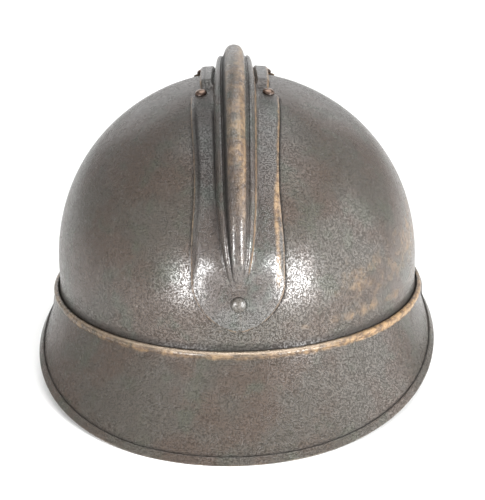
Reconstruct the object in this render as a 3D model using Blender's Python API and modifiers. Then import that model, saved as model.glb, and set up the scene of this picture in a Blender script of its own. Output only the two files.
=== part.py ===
"""Pressed steel combat helmet with a ridged crest, standing on its brim.

Metres, +Z up, front of the helmet towards -Y, origin on the floor under the middle of the brim's box.
Five pressings make it: a domed skull, a neck guard and a visor that clamp the skull's flange in a bead,
a crest over the dome, and the rivets that hold the crest.

The skull and the crest are worked out in the seam frame, whose XY plane is the seam between skull and
brim. STAND carries that frame to the floor: the neck guard is deeper than the visor, so the seam tips.
Angles round the oval plan start at the rear. Angles over the dome start at the rear and pass 90 on top.
"""

import math

import bmesh
import bpy
import numpy as np
from mathutils import Matrix, Vector

# Sheet steel, and the clearance that every two pieces keep. The crest stands a little higher off the skull
SHEET = 0.0007
GAP = 0.0003
CREST_GAP = 0.0005

# Skull: half of an ellipsoid on a short upright wall, measured outside
SKULL_HALF_WIDTH = 0.0988
SKULL_HALF_LENGTH = 0.108
DOME_RISE = 0.0986
WALL_HEIGHT = 0.0162
FILLET_HEIGHT = 0.0045
FILLET_REACH = 0.0014
SEAM_FLANGE = 0.001
SKULL_SEGMENTS = 56
DOME_RINGS = 12
FILLET_STEPS = 3

# Vent slot through the top of the skull, under the crest
VENT_LENGTH = 0.044
VENT_WIDTH = 0.0076
VENT_SIDES = 16

# Bead that clamps the skull's flange, at the top of neck guard and visor
BEAD_RADIUS = 0.0018
BEAD_OUT = 0.0019
LOWER_LIP = 0.0009

# Brim: reach from the skull's wall, and drop from the seam to the floor
REAR_REACH = 0.0356
FRONT_REACH = 0.0330
SIDE_REACH = 0.0061
REAR_DROP = 0.0414
FRONT_DROP = 0.0214
REACH_POWER = 1.15
SIDE_LIFT = 0.0167
FOOT_DEGREES = 12.0
LIFT_POWER = 1.8
LIFT_EASE_POWER = 8.0
SKIRT_SAG = 0.0012
SKIRT_STEPS = 3
JOINT_GAP = 0.0004

# Hem folded out along the brim's edge
HEM_WIDTH = 0.0042
HEM_PROUD = 0.0007
HEM_FOOT = 0.0013
HEM_ROUND = 0.0007

# Crest: degrees over the dome
REAR_TIP_DEGREES = -2.3
FRONT_TIP_DEGREES = 148.0
TIP_DEGREES = 13.0
TIP_POWER = 1.6
NOSE_START_DEGREES = 10.6
NOSE_DEGREES = 28.7
RIDGE_START_DEGREES = 12.2
LOBE_DEGREES = 20.0
WAIST_DEGREES = 40.0
SHOULDER_DEGREES = 19.0
HOOD_DEGREES = 9.5
HOOD_END_DEGREES = 12.3

# Crest: half widths and heights
LOBE_HALF_WIDTH = 0.0223
WAIST_HALF_WIDTH = 0.0204
SHOULDER_HALF_WIDTH = 0.0224
HOOD_HALF_WIDTH = 0.0174
TIP_HALF_WIDTH = 0.0015
STEP_HALF_WIDTH = 0.0104
RIDGE_HEIGHT = 0.015
RIDGE_POWER = 2.6
RIDGE_ROUND = 0.75
HOOD_LIFT = 0.003
NOSE_WIDTH = 0.80
NOSE_NARROWEST = 0.28

# Half of the crest's pressed section, from the ridge's top to the foot of its step.
# across is a share of STEP_HALF_WIDTH, up is a share of the ridge's height there.
CREST_SECTION = np.array(
    [
        (0.00, 1.000),
        (0.21, 0.970),
        (0.35, 0.880),
        (0.43, 0.720),
        (0.48, 0.540),
        (0.56, 0.490),
        (0.66, 0.560),
        (0.80, 0.555),
        (0.93, 0.340),
        (1.00, 0.080),
    ],
    dtype=[("across", float), ("up", float)],
)
STEP_TOE = 0.0016

# Rivets: domed head, shank through crest and skull, and a flat tail inside
END_HEAD_RADIUS = 0.0038
SIDE_HEAD_RADIUS = 0.0032
RIVET_HEAD_HEIGHT = 0.0021
RIVET_SHANK_RADIUS = 0.0015
RIVET_TAIL_RADIUS = 0.0026
RIVET_TAIL_HEIGHT = 0.0008
RIVET_TAIL_GAP = 0.0008
RIVET_SIDES = 10
END_RIVET_DEGREES = 7.8
SIDE_RIVET_DEGREES = 14.8
SIDE_RIVET_ACROSS = 0.0172
CUTTER_LENGTH = 0.012
# Shares of the head's radius and height, down its dome
HEAD_SECTION = ((0.0, 1.0), (0.5, 0.86), (0.84, 0.52), (1.0, 0.14))

# Colours from the photograph: worn brown-grey paint over steel
PAINT_COLOUR = (0.105, 0.092, 0.085, 1.0)
RIVET_COLOUR = (0.16, 0.12, 0.10, 1.0)

# Where the seam frame stands, worked out from the brim's drops and reaches
PITCH = math.asin((REAR_DROP - FRONT_DROP) / (2 * SKULL_HALF_LENGTH))
SEAT_HEIGHT = (REAR_DROP + FRONT_DROP) / 2
SEAT_BACK = (FRONT_REACH - REAR_REACH) / 2
STAND = Matrix.Translation((0, SEAT_BACK, SEAT_HEIGHT)) @ Matrix.Rotation(PITCH, 4, "X")

# Sheet surfaces of the crest stand this far off the dome
CREST_OUTSIDE = CREST_GAP + SHEET


def clear_scene():
    """Remove every object of the open file."""
    for obj in list(bpy.data.objects):
        bpy.data.objects.remove(obj, do_unlink=True)


def new_collection(name):
    """A collection linked to the scene."""
    made = bpy.data.collections.new(name)
    bpy.context.scene.collection.children.link(made)
    return made


def new_material(name, colour, roughness, metallic):
    """A Principled material of one colour."""
    made = bpy.data.materials.new(name)
    made.use_nodes = True
    shader = made.node_tree.nodes["Principled BSDF"]
    shader.inputs["Base Color"].default_value = colour
    shader.inputs["Roughness"].default_value = roughness
    shader.inputs["Metallic"].default_value = metallic
    return made


def new_object(name, mesh, collection, finish=None, parent=None):
    """An object for a mesh, shaded smooth, in its collection and on its parent."""
    made = bpy.data.objects.new(name, mesh)
    collection.objects.link(made)
    made.parent = parent
    if finish is not None:
        mesh.materials.append(finish)
    mesh.shade_smooth()
    mesh.set_sharp_from_angle(angle=math.radians(35))
    return made


def mesh_from_bmesh(name, bm):
    """Turn a bmesh into a mesh with its faces pointing out."""
    bmesh.ops.recalc_face_normals(bm, faces=bm.faces)
    mesh = bpy.data.meshes.new(name)
    bm.to_mesh(mesh)
    bm.free()
    return mesh


def grid_mesh(name, rows, wrap=False, cap=False):
    """Loft quads through rows of points. wrap closes each row on itself, and cap fills both ends."""
    bm = bmesh.new()
    lines = [[bm.verts.new(point) for point in row] for row in rows]
    across = len(lines[0])
    for near, far in zip(lines, lines[1:]):
        for i in range(across if wrap else across - 1):
            j = (i + 1) % across
            bm.faces.new((near[i], near[j], far[j], far[i]))
    if cap:
        bm.faces.new(lines[0])
        bm.faces.new(lines[-1])
    return mesh_from_bmesh(name, bm)


def turned_mesh(name, profile, steps):
    """Spin a profile, given as (radius, height) from top to bottom, into a mesh with a Screw modifier."""
    outline = bpy.data.meshes.new(name + "_profile")
    edges = [(i, i + 1) for i in range(len(profile) - 1)]
    outline.from_pydata([(r, 0, z) for r, z in profile], edges, [])
    spun = bpy.data.objects.new(name + "_profile", outline)
    bpy.context.scene.collection.objects.link(spun)
    screw = spun.modifiers.new("turn", "SCREW")
    screw.steps = screw.render_steps = steps
    screw.use_merge_vertices = True
    screw.merge_threshold = 0.00001
    graph = bpy.context.evaluated_depsgraph_get()
    mesh = bpy.data.meshes.new_from_object(spun.evaluated_get(graph))
    bpy.data.objects.remove(spun)
    return mesh


def ellipse_normal(half_width, half_length, angle):
    """Outward unit normal of an oval plan at an angle from the rear."""
    across = math.sin(angle) / half_width
    along = math.cos(angle) / half_length
    size = math.hypot(across, along)
    return across / size, along / size


def seam_point(angle, out, up):
    """A point beside the skull's wall, out from it and up from the seam, carried to the floor's frame."""
    nx, ny = ellipse_normal(SKULL_HALF_WIDTH, SKULL_HALF_LENGTH, angle)
    x = SKULL_HALF_WIDTH * math.sin(angle) + nx * out
    y = SKULL_HALF_LENGTH * math.cos(angle) + ny * out
    return STAND @ Vector((x, y, up))


def ease(value, places, sizes):
    """Interpolate sizes at places, with a level start and end to each stretch."""
    i = int(np.clip(np.searchsorted(places, value) - 1, 0, len(places) - 2))
    share = np.clip((value - places[i]) / (places[i + 1] - places[i]), 0, 1)
    return sizes[i] + (sizes[i + 1] - sizes[i]) * (1 - math.cos(math.pi * share)) / 2


def skull_profile():
    """Outside of the skull from its top to the edge of its flange, as (radius, height)."""
    steps = np.linspace(0, math.pi / 2, DOME_RINGS + 1)
    dome = [
        (SKULL_HALF_WIDTH * math.sin(a), WALL_HEIGHT + DOME_RISE * math.cos(a))
        for a in steps
    ]
    dome[0] = (0.0, WALL_HEIGHT + DOME_RISE)
    top = SHEET / 2
    fillet = [
        (
            SKULL_HALF_WIDTH + FILLET_REACH * (1 - math.cos(a)),
            top + FILLET_HEIGHT * (1 - math.sin(a)),
        )
        for a in np.linspace(0, math.pi / 2, FILLET_STEPS + 1)
    ]
    edge = [(SKULL_HALF_WIDTH + FILLET_REACH + SEAM_FLANGE, top)]
    return dome + fillet + edge


def stretch_to_oval(mesh):
    """Turn a round pressing into the oval plan: the flange keeps its width beyond the wall."""
    for vertex in mesh.vertices:
        radius = math.hypot(vertex.co.x, vertex.co.y)
        angle = math.atan2(vertex.co.x, vertex.co.y)
        inside = min(radius, SKULL_HALF_WIDTH) / SKULL_HALF_WIDTH
        beyond = max(radius - SKULL_HALF_WIDTH, 0)
        nx, ny = ellipse_normal(SKULL_HALF_WIDTH, SKULL_HALF_LENGTH, angle)
        vertex.co.x = SKULL_HALF_WIDTH * inside * math.sin(angle) + nx * beyond
        vertex.co.y = SKULL_HALF_LENGTH * inside * math.cos(angle) + ny * beyond


def add_solidify(obj):
    """Give an outside surface the sheet's thickness, inwards."""
    wall = obj.modifiers.new("sheet", "SOLIDIFY")
    wall.thickness = SHEET
    wall.offset = -1
    wall.use_even_offset = True


def add_cut(obj, cutters):
    """Cut a collection of closed cutters out of an object."""
    cut = obj.modifiers.new("holes", "BOOLEAN")
    cut.operation = "DIFFERENCE"
    cut.operand_type = "COLLECTION"
    cut.collection = cutters
    cut.solver = "EXACT"


def make_skull(collection, finish, frame):
    """The domed skull, with a fillet and a turned-out flange along its seam."""
    mesh = turned_mesh("skull", skull_profile(), SKULL_SEGMENTS)
    stretch_to_oval(mesh)
    skull = new_object("skull", mesh, collection, finish, frame)
    add_solidify(skull)
    return skull


def reach_at(angle):
    """How far the brim's edge stands out from the skull's wall in plan."""
    longest = REAR_REACH if math.cos(angle) >= 0 else FRONT_REACH
    return SIDE_REACH + (longest - SIDE_REACH) * abs(math.cos(angle)) ** REACH_POWER


def foot_lift(angle):
    """Height of the brim's edge: flat on the floor at rear and front, arched up at the sides."""
    from_end = math.degrees(math.acos(min(1.0, abs(math.cos(angle)))))
    share = max(0.0, (from_end - FOOT_DEGREES) / (90 - FOOT_DEGREES))
    ease_share = LIFT_POWER / LIFT_EASE_POWER
    arch = share**LIFT_POWER - ease_share * share**LIFT_EASE_POWER
    return SIDE_LIFT * arch / (1 - ease_share)


def bead_points(angle):
    """The bead round the skull's flange in two runs: over its top to the skirt, and under it to the slot."""
    slot = SHEET / 2 + GAP
    slot_end = FILLET_REACH + SEAM_FLANGE + GAP
    lip = FILLET_REACH + GAP / 3
    outer = [(lip, slot), (lip, math.sqrt(BEAD_RADIUS**2 - (BEAD_OUT - lip) ** 2))]
    for degrees in (60, 22, -12, -42):
        turn = math.radians(degrees)
        outer.append(
            (BEAD_OUT + BEAD_RADIUS * math.cos(turn), BEAD_RADIUS * math.sin(turn))
        )
    inner = [
        (BEAD_OUT, -BEAD_RADIUS),
        (LOWER_LIP, -slot - SHEET),
        (LOWER_LIP, -slot),
        (slot_end, -slot),
        (slot_end, slot),
    ]
    return (
        [seam_point(angle, out, up) for out, up in outer],
        [seam_point(angle, out, up) for out, up in inner],
    )


def brim_section(angle):
    """One closed section through bead, skirt and hem."""
    over, under = bead_points(angle)
    nx, ny = ellipse_normal(
        SKULL_HALF_WIDTH, SKULL_HALF_LENGTH * math.cos(PITCH), angle
    )
    out = Vector((nx, ny, 0))
    up = Vector((0, 0, 1))
    wall = seam_point(angle, 0, 0)
    foot = Vector((wall.x, wall.y, 0)) + out * reach_at(angle) + up * foot_lift(angle)

    along = (foot - over[-1]).normalized()
    face = along.cross(out.cross(up)).normalized()
    if face.dot(out) < 0:
        face = -face
    end = foot - face * HEM_PROUD + up * HEM_ROUND
    skirt = end - over[-1]
    last = 1 - HEM_WIDTH / skirt.length
    shares = [last * (i + 1) / (SKIRT_STEPS + 1) for i in range(SKIRT_STEPS + 1)]
    outside = [
        over[-1] + skirt * s - face * (SKIRT_SAG * 4 * s * (1 - s)) for s in shares
    ]
    inside = [point - face * SHEET for point in outside]
    hem = [
        outside[-1] + face * HEM_PROUD,
        foot + up * HEM_ROUND,
        foot - out * HEM_ROUND / 2,
        foot - out * (HEM_ROUND / 2 + HEM_FOOT),
        foot - out * (HEM_ROUND + HEM_FOOT) + up * HEM_ROUND,
    ]
    return over + outside + hem + inside[::-1] + under


def make_brim(name, middle, collection, finish):
    """Half of the brim, neck guard or visor, round the given middle angle."""
    short = JOINT_GAP / 2 / SKULL_HALF_LENGTH
    half = SKULL_SEGMENTS // 2
    turns = [middle + math.pi * (i / half - 0.5) for i in range(half + 1)]
    turns[0] += short
    turns[-1] -= short
    rows = [brim_section(turn) for turn in turns]
    mesh = grid_mesh(name, rows, wrap=True, cap=True)
    return new_object(name, mesh, collection, finish)


def dome_point(across, degrees):
    """Point and outward normal of the skull's outside, in the seam frame."""
    narrowed = math.sqrt(1 - (across / SKULL_HALF_WIDTH) ** 2)
    turn = math.radians(degrees)
    if degrees < 0:
        y = SKULL_HALF_LENGTH * narrowed
        rise = DOME_RISE * turn
        slope = 0.0
    else:
        y = SKULL_HALF_LENGTH * narrowed * math.cos(turn)
        rise = DOME_RISE * narrowed * math.sin(turn)
        slope = rise / DOME_RISE**2
    normal = Vector((across / SKULL_HALF_WIDTH**2, y / SKULL_HALF_LENGTH**2, slope))
    return Vector((across, y, WALL_HEIGHT + rise)), normal.normalized()


def from_tip(degrees):
    """Degrees from the nearer tip of the crest."""
    return min(degrees - REAR_TIP_DEGREES, FRONT_TIP_DEGREES - degrees)


def flange_half_width(degrees):
    """Half width of the crest's flange: pointed tips, a lobe, a waist, a shoulder and the vent hood."""
    front_waist = (90 + SHOULDER_DEGREES + FRONT_TIP_DEGREES - LOBE_DEGREES) / 2
    places = [
        REAR_TIP_DEGREES + LOBE_DEGREES,
        WAIST_DEGREES,
        90 - SHOULDER_DEGREES,
        90 - HOOD_END_DEGREES,
        90 - HOOD_DEGREES,
        90 + HOOD_DEGREES,
        90 + HOOD_END_DEGREES,
        90 + SHOULDER_DEGREES,
        front_waist,
        FRONT_TIP_DEGREES - LOBE_DEGREES,
    ]
    sizes = [LOBE_HALF_WIDTH, WAIST_HALF_WIDTH]
    sizes += [SHOULDER_HALF_WIDTH] * 2 + [HOOD_HALF_WIDTH] * 2
    sizes += [SHOULDER_HALF_WIDTH] * 2 + [WAIST_HALF_WIDTH, LOBE_HALF_WIDTH]
    share = min(1.0, from_tip(degrees) / TIP_DEGREES)
    tip = math.sqrt(1 - (1 - share) ** TIP_POWER)
    return max(TIP_HALF_WIDTH, ease(degrees, places, sizes) * tip)


def ridge_height(degrees):
    """Height of the ridge over the flange, level along the top and falling to nothing at its noses."""
    start = REAR_TIP_DEGREES + RIDGE_START_DEGREES
    end = FRONT_TIP_DEGREES - RIDGE_START_DEGREES
    share = np.clip((degrees - start) / (end - start), 0, 1)
    return RIDGE_HEIGHT * (1 - abs(2 * share - 1) ** RIDGE_POWER) ** RIDGE_ROUND


def hood_lift(degrees):
    """How far the flange is raised off the skull over the vent."""
    off_top = abs(degrees - 90)
    return ease(off_top, [0, HOOD_DEGREES, HOOD_END_DEGREES], [HOOD_LIFT, HOOD_LIFT, 0])


def step_half_width(degrees, edge):
    """Half width of ridge and steps together: a long round nose that widens on towards the middle."""
    beyond = from_tip(degrees) - NOSE_START_DEGREES
    nose = np.clip(beyond / NOSE_DEGREES, 0, 1)
    middle = (FRONT_TIP_DEGREES - REAR_TIP_DEGREES) / 2 - NOSE_START_DEGREES
    along = np.clip(beyond / middle, 0, 1)
    narrow = math.sqrt(1 - (1 - nose) ** 2) * (NOSE_WIDTH + (1 - NOSE_WIDTH) * along)
    return min(STEP_HALF_WIDTH * max(NOSE_NARROWEST, narrow), edge * 0.6)


def crest_row(degrees):
    """One row of points across the crest's outside, from its left edge to its right edge."""
    edge = flange_half_width(degrees)
    height = ridge_height(degrees)
    lift = hood_lift(degrees)
    step = step_half_width(degrees, edge)
    half = [(step * row["across"], height * row["up"]) for row in CREST_SECTION]
    toe = min(step + STEP_TOE, (step + edge) / 2)
    half += [(toe, lift), (edge, lift)]
    both = [(-across, up) for across, up in half[:0:-1]] + half
    row = []
    for across, up in both:
        point, normal = dome_point(across, degrees)
        row.append(point + normal * (CREST_OUTSIDE + up))
    return row


def crest_stations():
    """Degrees of the crest's rows, closer together at the tips and where the hood rises."""
    tip = TIP_DEGREES * np.linspace(0, 1, 8) ** 1.4
    rear = REAR_TIP_DEGREES + tip
    front = (FRONT_TIP_DEGREES - tip)[::-1]
    shoulder = np.array(
        [-SHOULDER_DEGREES, -HOOD_END_DEGREES, -HOOD_DEGREES, 0]
        + [HOOD_DEGREES, HOOD_END_DEGREES, SHOULDER_DEGREES]
    )
    back = rear[-1] + (90 - SHOULDER_DEGREES - rear[-1]) * np.linspace(0, 1, 13)[1:-1] ** 1.4
    fore = front[0] - (front[0] - 90 - SHOULDER_DEGREES) * np.linspace(1, 0, 6)[1:-1] ** 1.4
    return np.concatenate([rear, back, 90 + shoulder, fore, front])


def make_crest(collection, finish, frame):
    """The crest: a high rounded ridge between two lower steps, on a flange that lies along the dome."""
    rows = [crest_row(degrees) for degrees in crest_stations()]
    mesh = grid_mesh("crest", rows)
    if mesh.polygons[len(mesh.polygons) // 2].normal.z < 0:
        mesh.flip_normals()
    crest = new_object("crest", mesh, collection, finish, frame)
    add_solidify(crest)
    return crest


def rivet_places():
    """Name, sideways place, degrees over the dome and head radius of each rivet."""
    places = [
        ("rivet_rear", 0.0, REAR_TIP_DEGREES + END_RIVET_DEGREES, END_HEAD_RADIUS),
        ("rivet_front", 0.0, FRONT_TIP_DEGREES - END_RIVET_DEGREES, END_HEAD_RADIUS),
    ]
    for end, degrees in (("rear", 90 - SIDE_RIVET_DEGREES), ("front", 90 + SIDE_RIVET_DEGREES)):
        for side, across in (("left", SIDE_RIVET_ACROSS), ("right", -SIDE_RIVET_ACROSS)):
            places.append((f"rivet_top_{end}_{side}", across, degrees, SIDE_HEAD_RADIUS))
    return places


def on_crest(across, degrees, height):
    """Matrix in the seam frame of something that stands on the crest's flange, upright to it."""
    point, normal = dome_point(across, degrees)
    turn = normal.to_track_quat("Z", "Y").to_matrix().to_4x4()
    return Matrix.Translation(point + normal * (CREST_OUTSIDE + height)) @ turn


def make_rivet(name, across, degrees, head_radius, collection, finish, frame):
    """A rivet whose head bears on the flange and whose tail closes under the skull."""
    grip = GAP + CREST_OUTSIDE + SHEET + RIVET_TAIL_GAP
    profile = [(head_radius * r, RIVET_HEAD_HEIGHT * z) for r, z in HEAD_SECTION]
    profile += [
        (head_radius, 0),
        (RIVET_SHANK_RADIUS, 0),
        (RIVET_SHANK_RADIUS, -grip),
        (RIVET_TAIL_RADIUS, -grip),
        (RIVET_TAIL_RADIUS, -grip - RIVET_TAIL_HEIGHT),
        (0, -grip - RIVET_TAIL_HEIGHT),
    ]
    mesh = turned_mesh(name, profile, RIVET_SIDES)
    rivet = new_object(name, mesh, collection, finish, frame)
    rivet.matrix_local = on_crest(across, degrees, GAP)
    return rivet


def make_hole_cutter(name, across, degrees, cutters, frame):
    """A plug that drills crest and skull for a rivet's shank."""
    bm = bmesh.new()
    bmesh.ops.create_cone(
        bm,
        cap_ends=True,
        segments=RIVET_SIDES,
        radius1=RIVET_SHANK_RADIUS + GAP,
        radius2=RIVET_SHANK_RADIUS + GAP,
        depth=CUTTER_LENGTH,
    )
    cutter = new_object(name, mesh_from_bmesh(name, bm), cutters, parent=frame)
    cutter.matrix_local = on_crest(across, degrees, 0)
    return cutter


def make_vent_cutter(cutters, frame):
    """A round-ended plug that cuts the vent slot through the top of the skull."""
    bm = bmesh.new()
    bmesh.ops.create_cone(
        bm,
        cap_ends=True,
        segments=VENT_SIDES,
        radius1=VENT_WIDTH / 2,
        radius2=VENT_WIDTH / 2,
        depth=CUTTER_LENGTH,
        matrix=Matrix.Rotation(math.pi / VENT_SIDES, 4, "Z"),
    )
    half_straight = (VENT_LENGTH - VENT_WIDTH) / 2
    for vertex in bm.verts:
        vertex.co.y += math.copysign(half_straight, vertex.co.y)
    cutter = new_object("vent_cutter", mesh_from_bmesh("vent_cutter", bm), cutters, parent=frame)
    cutter.location = (0, 0, WALL_HEIGHT + DOME_RISE)
    return cutter


def hide_cutters(collection):
    """Keep the cutters out of the render, drawn as wire."""
    for cutter in collection.objects:
        cutter.hide_render = True
        cutter.display_type = "WIRE"


def main():
    """Build the helmet."""
    clear_scene()
    helmet = new_collection("steel_helmet")
    hole_cutters = new_collection("hole_cutters")
    vent_cutters = new_collection("vent_cutters")
    paint = new_material("worn_paint", PAINT_COLOUR, 0.45, 0.3)
    rivet_steel = new_material("rivet_steel", RIVET_COLOUR, 0.4, 0.6)

    frame = bpy.data.objects.new("seam_frame", None)
    helmet.objects.link(frame)
    frame.matrix_world = STAND

    skull = make_skull(helmet, paint, frame)
    make_brim("neck_guard", 0.0, helmet, paint)
    make_brim("visor", math.pi, helmet, paint)
    crest = make_crest(helmet, paint, frame)
    for name, across, degrees, head_radius in rivet_places():
        make_rivet(name, across, degrees, head_radius, helmet, rivet_steel, frame)
        make_hole_cutter(name + "_hole", across, degrees, hole_cutters, frame)
    make_vent_cutter(vent_cutters, frame)
    for cutters in (hole_cutters, vent_cutters):
        hide_cutters(cutters)
    add_cut(skull, hole_cutters)
    add_cut(skull, vent_cutters)
    add_cut(crest, hole_cutters)


main()
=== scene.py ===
"""A worn steel helmet with a ridged crest, seen from behind and above on a pale floor.

Metres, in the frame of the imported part: +Z up, the helmet's front towards -Y, the floor at Z = 0.
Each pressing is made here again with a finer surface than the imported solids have, and takes their place.
Skull and crest are worked out in the seam frame, whose XY plane is the seam between skull and brim.
"""

import logging
import math
from dataclasses import dataclass
from enum import Enum

import bpy
import numpy as np
from mathutils import Matrix, Vector


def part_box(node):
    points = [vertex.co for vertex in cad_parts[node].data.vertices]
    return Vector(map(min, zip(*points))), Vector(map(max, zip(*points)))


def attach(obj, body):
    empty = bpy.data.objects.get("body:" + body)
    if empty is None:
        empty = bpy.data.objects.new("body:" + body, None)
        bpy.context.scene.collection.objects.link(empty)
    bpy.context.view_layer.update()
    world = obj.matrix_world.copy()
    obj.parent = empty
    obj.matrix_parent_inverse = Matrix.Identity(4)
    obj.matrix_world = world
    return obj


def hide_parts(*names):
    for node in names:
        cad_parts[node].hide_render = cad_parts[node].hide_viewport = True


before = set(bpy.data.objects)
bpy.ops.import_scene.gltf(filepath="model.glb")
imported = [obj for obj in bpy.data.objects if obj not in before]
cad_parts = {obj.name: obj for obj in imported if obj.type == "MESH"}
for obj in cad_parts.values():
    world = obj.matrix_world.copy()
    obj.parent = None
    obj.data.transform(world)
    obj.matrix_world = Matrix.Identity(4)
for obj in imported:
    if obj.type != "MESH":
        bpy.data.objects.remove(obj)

LOG = logging.getLogger("helmet")
Array = np.ndarray
Colour = tuple[float, float, float, float]
# A middle and a spread, or a start and an end
Span = tuple[float, float]

BODY = "root"
PAINT_SLOT = "worn_paint"
RIVET_SLOT = "rivet_steel"

# The photograph's long side in pixels, and that side of a usual sensor in millimetres
PHOTO_LONG_SIDE = 500
SENSOR_MM = 36.0

# Sheet steel, the clearances between pieces, and how near two points are to merge
SHEET = 0.0007
GAP = 0.0003
CREST_GAP = 0.0005
MERGE = 0.000001

# Millimetres in a metre, and the angle from which an edge is shaded sharp
MM = 1000
SHARP_DEGREES = 40

# Shader nodes
COORDINATE = "ShaderNodeTexCoord"
FIELD = "ShaderNodeAttribute"
NOISE = "ShaderNodeTexNoise"
RANGE = "ShaderNodeMapRange"
SUM = "ShaderNodeMath"
MIX = "ShaderNodeMix"
BUMP = "ShaderNodeBump"

# Sockets of the colour mix: the colour below, the one above, and the result
UNDER, OVER, MIXED = 6, 7, 2


# Small tools


def linear(hex_colour: str) -> Colour:
    """Turn an sRGB colour into linear light.

    Args:
        hex_colour: six hex digits, with or without a leading #.

    Returns:
        Red, green, blue and an alpha of 1.
    """
    digits = hex_colour.lstrip("#")
    parts = [int(digits[i : i + 2], 16) / 255 for i in (0, 2, 4)]
    red, green, blue = (
        p / 12.92 if p <= 0.04045 else ((p + 0.055) / 1.055) ** 2.4 for p in parts
    )
    return red, green, blue, 1.0


def smoothstep(value: Array, low: float, high: float) -> Array:
    """Rise from 0 at low to 1 at high, level at both ends: 3t^2 - 2t^3 of the clipped share t."""
    share = np.clip((value - low) / (high - low), 0, 1)
    return share * share * (3 - 2 * share)


def bump_at(value: Array, middle: float, width: float) -> Array:
    """A bell round a middle: exp(-((value - middle) / width)^2)."""
    return np.exp(-(((value - middle) / width) ** 2))


def ease(value: Array, places: Array, sizes: Array) -> Array:
    """Go from size to size with a level start and end to each stretch, as a half cosine does.

    Args:
        value: where to read the curve.
        places: rising places of the sizes.
        sizes: the size at each place.

    Returns:
        The size at each value.
    """
    i = np.clip(np.searchsorted(places, value) - 1, 0, len(places) - 2)
    share = np.clip((value - places[i]) / (places[i + 1] - places[i]), 0, 1)
    return sizes[i] + (sizes[i + 1] - sizes[i]) * (1 - np.cos(np.pi * share)) / 2


def curve_weights(points: int, steps: int) -> Array:
    """Weights that draw a smooth curve through a row of points.

    Each stretch between two points is the Catmull-Rom cubic, whose tangent at a point is half the
    difference of its two neighbours. The end points are their own neighbours.

    Args:
        points: how many points the curve passes through.
        steps: how many short steps each stretch gets.

    Returns:
        A matrix that takes the row of points to the row of curve points.
    """
    count = (points - 1) * steps + 1
    place = np.arange(count) / steps
    start = np.minimum(place.astype(int), points - 2)
    t = place - start
    cubic = np.stack(
        [
            -0.5 * t + t**2 - 0.5 * t**3,
            1 - 2.5 * t**2 + 1.5 * t**3,
            0.5 * t + 2 * t**2 - 1.5 * t**3,
            -0.5 * t**2 + 0.5 * t**3,
        ],
        axis=1,
    )
    weights = np.zeros((count, points))
    for offset in range(4):
        column = np.clip(start + offset - 1, 0, points - 1)
        np.add.at(weights, (np.arange(count), column), cubic[:, offset])
    return weights


def mesh_object(
    name: str, grid: Array, fields: dict[str, Array], closed: bool = False, ends: bool = False
) -> bpy.types.Object:
    """Make an object from a grid of points, with a number per point for each named field.

    Faces look along columns crossed with rows: with columns to the right and rows downwards, they face
    the one who reads the grid.

    Args:
        name: the object's name.
        grid: rows by columns of points.
        fields: rows by columns of numbers, kept as point attributes.
        closed: whether each row's last point meets its first.
        ends: whether the first and last rows are closed with a flat face each.

    Returns:
        The new object, in the scene.
    """
    rows, columns = grid.shape[:2]
    index = np.arange(rows * columns).reshape(rows, columns)
    loops = np.hstack([index, index[:, :1]]) if closed else index
    quads = np.stack([loops[:-1, :-1], loops[:-1, 1:], loops[1:, 1:], loops[1:, :-1]], axis=-1)
    faces = quads.reshape(-1, 4).tolist()
    if ends:
        faces += [index[0, ::-1].tolist(), index[-1].tolist()]
    mesh = bpy.data.meshes.new(name)
    mesh.from_pydata(grid.reshape(-1, 3).tolist(), [], faces)
    for field, values in fields.items():
        layer = mesh.attributes.new(field, "FLOAT", "POINT")
        spread = np.broadcast_to(values, (rows, columns)).astype(np.float32)
        layer.data.foreach_set("value", spread.ravel())
    mesh.update()
    made = bpy.data.objects.new(name, mesh)
    bpy.context.scene.collection.objects.link(made)
    return made


def settle(obj: bpy.types.Object) -> bpy.types.Object:
    """Turn an object's modifiers into its mesh, and shade it smooth.

    Args:
        obj: the object to settle.

    Returns:
        The same object.
    """
    graph = bpy.context.evaluated_depsgraph_get()
    mesh = bpy.data.meshes.new_from_object(obj.evaluated_get(graph))
    obj.modifiers.clear()
    obj.data = mesh
    mesh.shade_smooth()
    mesh.set_sharp_from_angle(angle=math.radians(SHARP_DEGREES))
    return obj


def merge_doubles(obj: bpy.types.Object) -> None:
    """Merge the points of poles and seams with a Weld modifier."""
    weld = obj.modifiers.new("weld", "WELD")
    weld.merge_threshold = MERGE


def give_wall(obj: bpy.types.Object, even: bool = True) -> None:
    """Give an outside surface the sheet's thickness, inwards.

    Args:
        obj: the surface.
        even: whether the wall keeps its thickness round corners.
    """
    wall = obj.modifiers.new("sheet", "SOLIDIFY")
    wall.thickness = SHEET
    wall.offset = -1
    wall.use_even_offset = even


def drill(obj: bpy.types.Object, plugs: list[bpy.types.Object]) -> None:
    """Cut closed plugs out of an object, one Boolean each.

    Args:
        obj: the object to cut.
        plugs: a closed object for each hole.
    """
    for plug in plugs:
        cut = obj.modifiers.new(plug.name, "BOOLEAN")
        cut.operation = "DIFFERENCE"
        cut.object = plug
        cut.solver = "EXACT"


def add_node(
    tree: bpy.types.NodeTree, kind: str, inputs: dict | None = None, out: str | int = 0, **settings
) -> bpy.types.NodeSocket:
    """Add a shader node with its settings, values and links.

    Args:
        tree: the node tree.
        kind: the node's type name.
        inputs: socket name or number to a value, or to the output socket that feeds it.
        out: the output wanted.
        settings: the node's own properties.

    Returns:
        The output socket.
    """
    node = tree.nodes.new(kind)
    for name, value in settings.items():
        setattr(node, name, value)
    for key, value in (inputs or {}).items():
        if isinstance(value, bpy.types.NodeSocket):
            tree.links.new(value, node.inputs[key])
        else:
            node.inputs[key].default_value = value
    return node.outputs[out]


# Shared forms


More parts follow.
